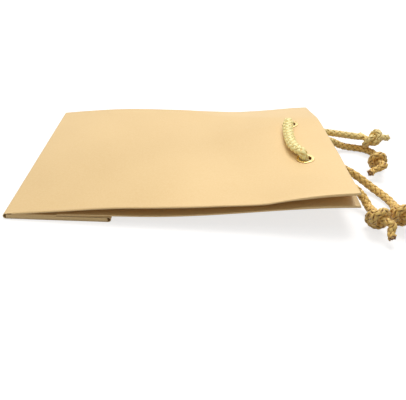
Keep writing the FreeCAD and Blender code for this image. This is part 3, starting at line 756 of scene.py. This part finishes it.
def on_sheet(u, y):
    """Middle of the sheet's thickness at row u, a fraction allowed, and Y."""
    index = np.arange(len(ROWS))
    x, z, nx, nz, tx, tz, angle, fold, top, run = (np.interp(u, index, column) for column in ROWS.T)
    on_upper = top > 0.5
    radius = (rim_depth(y) - SHEET) / 2
    deep = SHEET / 2 + radius * (1 - np.cos(angle)) + np.where(on_upper, fall(run, y), 0.0)
    ahead = fold * radius * (np.sin(angle) - 1) - np.where(on_upper, drawn(run, y), 0.0)
    up = np.where(on_upper, 0.0, raised(run, y))
    inward = 1 - NARROWED * (angle / math.pi)
    return np.stack([x + tx * ahead - nx * deep, y * inward, z + tz * ahead - nz * deep + up], -1)


def flat_sheet(rows, ys, holes):
    """Vertices (u, y) and quads of a sheet laid out flat, with round holes in squares of the grid.
    holes are (first row, last row, centre row, rows per millimetre, centre Y, radius)."""
    grid = {}
    points, faces = [], []

    def vertex(u, y):
        key = (round(u, 4), round(y, 4))
        if key not in grid:
            grid[key] = len(points)
            points.append((u, y))
        return grid[key]

    def in_hole(u, y):
        return any(a < u < b and abs(y - cy) < SQUARE for a, b, _, _, cy, _ in holes)

    for u0, u1 in zip(rows, rows[1:]):
        for y0, y1 in zip(ys, ys[1:]):
            if not in_hole((u0 + u1) / 2, (y0 + y1) / 2):
                faces.append((vertex(u0, y0), vertex(u1, y0), vertex(u1, y1), vertex(u0, y1)))
    for a, b, cu, density, cy, radius in holes:
        us = [u for u in rows if a - 1e-6 <= u <= b + 1e-6]
        vs = [y for y in ys if cy - SQUARE - 1e-6 <= y <= cy + SQUARE + 1e-6]
        loop = [(u, vs[0]) for u in us] + [(us[-1], v) for v in vs[1:]]
        loop += [(u, vs[-1]) for u in us[-2::-1]] + [(us[0], v) for v in vs[-2:0:-1]]
        rings = []
        for share in (1.0, 0.6, 0.25, 0.0):
            ring = []
            for u, y in loop:
                du, dy = (u - cu) / density, y - cy
                size = math.hypot(du, dy)
                px, py = du / size * radius, dy / size * radius
                qx, qy = px + (du - px) * share, py + (dy - py) * share
                ring.append(vertex(cu + qx * density, cy + qy) if share < 1 else vertex(u, y))
            rings.append(ring)
        for outer, inner in zip(rings, rings[1:]):
            for k in range(len(outer)):
                m = (k + 1) % len(outer)
                faces.append((outer[k], outer[m], inner[m], inner[k]))
    return np.array(points), faces


def grid_sheet(us, vs):
    """Vertices (u, v) and quads of a plain grid."""
    n = len(vs)
    faces = [
        (i * n + j, (i + 1) * n + j, (i + 1) * n + j + 1, i * n + j + 1)
        for i in range(len(us) - 1) for j in range(n - 1)
    ]
    return np.array([(u, v) for u in us for v in vs]), faces


def thicken(flat, place, thickness, made):
    """Two faces of a sheet either side of place(points), joined round every free edge. flat is its points and
    quads laid out flat."""
    points, faces = flat
    u, v = points[:, 0], points[:, 1]
    step = 0.02
    along = place(u + step, v) - place(u - step, v)
    across = place(u, v + step) - place(u, v - step)
    normal = unit(np.cross(along, across))
    middle = place(u, v)
    count = len(points)
    both = np.concatenate([middle + normal * (thickness / 2), middle - normal * (thickness / 2)])
    sides = {}
    for face in faces:
        for a, b in zip(face, face[1:] + face[:1]):
            if (b, a) in sides:
                del sides[(b, a)]
            else:
                sides[(a, b)] = True
    shell = faces + [tuple(i + count for i in reversed(face)) for face in faces]
    shell += [(b, a, a + count, b + count) for a, b in sides]
    made.add((both + np.array([LOW_X, 0, 0])) * MM, shell)


def chain(*stretches):
    """Values through (first, last, count) stretches that meet."""
    return np.concatenate([np.linspace(*stretches[0])] + [np.linspace(*stretch)[1:] for stretch in stretches[1:]])


def punched(start, stop, panel):
    """The two holes of a layer, as flat_sheet takes them."""
    runs, index = ROWS[start:stop + 1, -1], np.arange(start, stop + 1)
    way = 1 if runs[-1] > runs[0] else -1
    marks = (panel.hole - SQUARE, panel.hole, panel.hole + SQUARE)
    first, centre, last = sorted(float(np.interp(way * run, way * runs, index)) for run in marks)
    return [(first, last, centre, (last - first) / (2 * SQUARE), y, HOLE) for y in (EYELET_Y, -EYELET_Y)]


near, far = EYELET_Y - SQUARE, EYELET_Y + SQUARE
ys_half = np.append(chain((0, near, 8), (near, far, 9), (far, 60, 12), (60, 70, 9)), (72, 73.5, 74.65)).round(3)
ys = np.concatenate([-ys_half[:0:-1], ys_half])
holes = [hole for layer in LAYERS for hole in punched(*layer)]
sheet_made = Gather()
thicken(flat_sheet(np.arange(len(ROWS), dtype=float), ys, holes), on_sheet, SHEET, sheet_made)

CREASE_Y = 74.6  # of a gusset's outer creases
ON_BASE, FREE = 12, 70  # stations along a gusset, over the base and from there to the mouth
GUSSET_FLOOR = 2.6  # Z of a gusset's lower crease over the base
OUTER_ROUND, RIM_ROUND = 0.3, 0.25  # radius of its outer creases, and what the rim adds to it
MIDDLE_ROUND = 0.12  # radius of its middle crease
LEAF_BOW = 0.35  # how far its upper leaf bows


def gusset_place(side):
    """A function that places a gusset's sheet, and its count of stations. It takes the station and a number that
    grows across the gusset: 0 to 1 upper crease, 1 to 4 upper leaf, 4 to 5 middle crease, 5 to 8 lower leaf and
    8 to 9 lower crease."""
    runs = np.concatenate([np.linspace(PANEL_Z, 28.0, ON_BASE), np.linspace(30.0, upper.length - 0.05, FREE)])
    edge = np.full(len(runs), side * CREASE_Y)
    x, z, slope = upper.at(runs)
    x, z = x - np.cos(slope) * drawn(runs, edge), z - np.sin(slope) * drawn(runs, edge)
    deep = SHEET / 2 + fall(runs, edge)
    top = np.stack([x + np.sin(slope) * deep, z - np.cos(slope) * deep], 1)
    low_runs = np.concatenate([np.zeros(ON_BASE), np.linspace(0.0, lower.length - 0.05, FREE)])
    x, z, slope = lower.at(low_runs)
    z = z + raised(low_runs, edge)
    x[:ON_BASE], z[:ON_BASE] = top[:ON_BASE, 0], GUSSET_FLOOR
    low = np.stack([x - np.sin(slope) * SHEET / 2, z + np.cos(slope) * SHEET / 2], 1)
    leaf = np.clip(top[:, 0], 0, DEPTH / 2)
    rim = np.clip((runs - (upper.length - TURN_IN)) / 8, 0, 1)
    index = np.arange(len(runs))

    def place(t, w):
        top_at = np.stack([np.interp(t, index, top[:, k]) for k in (0, 1)], -1)
        low_at = np.stack([np.interp(t, index, low[:, k]) for k in (0, 1)], -1)
        gap = np.linalg.norm(top_at - low_at, axis=-1)
        half = gap / 2
        r = np.minimum(OUTER_ROUND + RIM_ROUND * np.interp(t, index, rim), gap * 0.2)
        reach = np.sqrt(np.maximum(np.interp(t, index, leaf) ** 2 - half**2, 1.0))
        arc_top, arc_mid, arc_low = (np.clip(w - start, 0, 1) * math.pi for start in (0, 4, 8))
        leaf_top, leaf_low = (np.clip((w - start) / 3, 0, 1) for start in (1, 5))
        bow = LEAF_BOW * np.sin(leaf_top * math.pi) * np.clip(gap / 8, 0, 1)
        straight = half - MIDDLE_ROUND - 2 * r
        stretches = [w <= 1, w <= 4, w <= 5, w <= 8]
        inward = np.select(stretches, [
            r - r * np.sin(arc_top), r + (reach - r) * leaf_top,
            reach + MIDDLE_ROUND * np.sin(arc_mid), reach + (r - reach) * leaf_low,
        ], r - r * np.sin(arc_low))
        below = np.select(stretches, [
            r - r * np.cos(arc_top), 2 * r + straight * leaf_top - bow,
            half - MIDDLE_ROUND * np.cos(arc_mid), half + MIDDLE_ROUND + straight * leaf_low,
        ], gap - r - r * np.cos(arc_low))
        at = top_at + (low_at - top_at) * (below / gap)[..., None]
        return np.stack([at[..., 0], side * (HALF - SHEET / 2 - inward), at[..., 1]], -1)

    return place, len(runs)


ACROSS_GUSSET = chain((0, 1, 7), (1, 4, 10), (4, 5, 5), (5, 8, 10), (8, 9, 7))
for side in (1, -1):
    place, count = gusset_place(side)
    thicken(grid_sheet(np.arange(count, dtype=float), ACROSS_GUSSET), place, SHEET, sheet_made)


BASE_START, BASE_END = 1.9, 58.1  # of the layers between the base's two folds
WALL_FOOT, WALL_HEIGHT, WALL_BULGE = 0.35, 2.35, 0.25  # of the sheet's sides round the base board


def base_flap(first, last, height, inset):
    """A flat layer glued into the base."""
    def place(x, y):
        return np.stack([x, y, np.full_like(x, height)], -1)

    flat = grid_sheet(np.linspace(first, last, 12), np.linspace(-HALF + inset, HALF - inset, 40))
    thicken(flat, place, SHEET, sheet_made)


def base_wall(side):
    """The sheet turning up round the side of the base board's space."""
    def place(x, w):
        bulge = WALL_BULGE * np.sin(w * math.pi)
        return np.stack([x, side * (HALF - SHEET / 2 - WALL_BULGE + bulge), WALL_FOOT + w * WALL_HEIGHT], -1)

    thicken(grid_sheet(np.linspace(BASE_START, BASE_END, 40), np.linspace(0, 1, 8)), place, SHEET, sheet_made)


base_flap(BASE_START, BASE_END, height=0.53, inset=0.4)
base_flap(2.3, 57.7, height=0.89, inset=0.9)
for side in (1, -1):
    base_wall(side)
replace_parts(sheet_made.piece("paper_bag", paper, "bag_paper"), "bag_body")

# ---------------------------------------------------------------- the card strips, in millimetres

CARD_DEPTH, CARD_THICKNESS, CARD_FROM_MOUTH = 36.0, 0.8, 1
CARD_WITHIN = 62.1  # the strips take the lines of the paper's mesh up to this Y, so they are 122.5 wide
CARD_HOLE = 4.1  # radius


def card_place(panel):
    """A function that places the card strip under a panel's turned-in edge."""
    def place(run, y):
        x, z, slope = panel.at(run)
        if panel is upper:
            deep, back, up = SANDWICH / 2 + fall(run, y), drawn(run, y), 0.0
        else:
            deep, back, up = -SANDWICH / 2, 0.0, raised(run, y)
        x, z = x - np.cos(slope) * back, z - np.sin(slope) * back
        return np.stack([x + np.sin(slope) * deep, y, z - np.cos(slope) * deep + up], -1)

    return place


for panel, level in ((upper, "upper"), (lower, "lower")):
    near, far = panel.hole - SQUARE, panel.hole + SQUARE
    start, stop = panel.length - CARD_DEPTH - CARD_FROM_MOUTH, panel.length - CARD_FROM_MOUTH
    strip = chain((start, near, 4), (near, far, 9), (far, stop, 8))
    holes = [(near, far, panel.hole, 1.0, y, CARD_HOLE) for y in (EYELET_Y, -EYELET_Y)]
    made = Gather()
    thicken(flat_sheet(strip, ys[np.abs(ys) < CARD_WITHIN], holes), card_place(panel), CARD_THICKNESS, made)
    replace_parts(made.piece("card_strip_" + level, card, "rim_card"), "rim_card_" + level)

# ---------------------------------------------------------------- CAD nodes that stay

eyelets = ("eyelet_upper_back", "eyelet_upper_front", "eyelet_lower_back", "eyelet_lower_front")
for name in (*eyelets, "base_board"):
    node = bpy.data.objects[name]
    node.data.materials.clear()
    node.data.materials.append(brass if name in eyelets else card)

# ---------------------------------------------------------------- floor and light

floor_mesh = bpy.data.meshes.new("floor")
far = 6  # from the middle to the floor's edges, in metres
floor_mesh.from_pydata([(-far, -far, 0), (far, -far, 0), (far, far, 0), (-far, far, 0)], [], [(0, 1, 2, 3)])
floor = bpy.data.objects.new("floor", floor_mesh)
floor.data.materials.append(floor_material())
scene.collection.objects.link(floor)

scene.world = white_world(light=0.30)


def add_lamp(name, place, size, power):
    """A square lamp that shines at the middle of the frame."""
    data = bpy.data.lights.new(name, "AREA")
    data.size = size
    data.energy = power
    lamp = bpy.data.objects.new(name, data)
    lamp.location = place
    lamp.rotation_euler = (-Vector(place)).to_track_quat("-Z", "Y").to_euler()
    scene.collection.objects.link(lamp)


add_lamp("key", (0.20, 0.40, 0.95), size=0.6, power=7.9)
add_lamp("fill", (-0.45, 0.10, 0.85), size=0.8, power=2.0)
